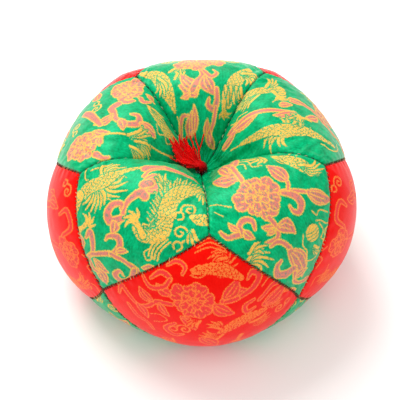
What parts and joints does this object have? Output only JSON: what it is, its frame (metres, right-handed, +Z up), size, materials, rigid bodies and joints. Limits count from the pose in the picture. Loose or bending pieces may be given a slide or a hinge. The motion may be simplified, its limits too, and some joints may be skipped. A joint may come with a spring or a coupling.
{
  "type": "pin cushion",
  "caption": "Round lobed pin cushion of sewn brocade panels, drawn in at the middle by a tie with a thread tassel in its dimple.",
  "frame": {"origin": "middle of the outline on the surface the cushion stands on", "axes": "+Z up through the dimple, -Y towards the front side panel, +X to its right"},
  "size_m": [0.1098, 0.1087, 0.0636],
  "materials": {
    "green_brocade": "satin",
    "red_brocade": "satin",
    "sewing_thread": "matte",
    "tassel_thread": "satin",
    "stuffing": "matte"
  },
  "bodies": {
    "cushion": {"filling": "stuffing", "top_petal_1": "green_brocade", "top_petal_2": "green_brocade", "top_petal_3": "green_brocade", "top_petal_4": "green_brocade", "top_petal_5": "green_brocade", "side_panel_1": "red_brocade", "side_panel_2": "red_brocade", "side_panel_3": "red_brocade", "side_panel_4": "red_brocade", "side_panel_5": "red_brocade", "base_petal_1": "green_brocade", "base_petal_2": "green_brocade", "base_petal_3": "green_brocade", "base_petal_4": "green_brocade", "base_petal_5": "green_brocade", "top_seam_thread_1": "sewing_thread", "top_seam_thread_2": "sewing_thread", "top_seam_thread_3": "sewing_thread", "top_seam_thread_4": "sewing_thread", "top_seam_thread_5": "sewing_thread", "base_seam_thread_1": "sewing_thread", "base_seam_thread_2": "sewing_thread", "base_seam_thread_3": "sewing_thread", "base_seam_thread_4": "sewing_thread", "base_seam_thread_5": "sewing_thread", "upper_rim_thread": "sewing_thread", "lower_rim_thread": "sewing_thread", "tie_cord": "tassel_thread", "tie_knot": "tassel_thread"},
    "tassel_root": {"tassel_knot": "tassel_thread"},
    "tassel": {"tassel_lock_1": "tassel_thread", "tassel_lock_2": "tassel_thread", "tassel_lock_3": "tassel_thread", "tassel_lock_4": "tassel_thread", "tassel_lock_5": "tassel_thread", "tassel_lock_6": "tassel_thread", "tassel_lock_7": "tassel_thread"}
  },
  "joints": [
    {"name": "tassel_flop", "type": "hinge", "parent": "cushion", "child": "tassel_root", "pos_m": [-0.00025, 0.00181, 0.04431], "axis": [-0.5736, -0.8192, 0], "range_deg": [-56, 0]},
    {"name": "tassel_sway", "type": "hinge", "parent": "tassel_root", "child": "tassel", "pos_m": [-0.00025, 0.00181, 0.04431], "axis": [0, 0, 1], "range_deg": [-15, 15]}
  ]
}
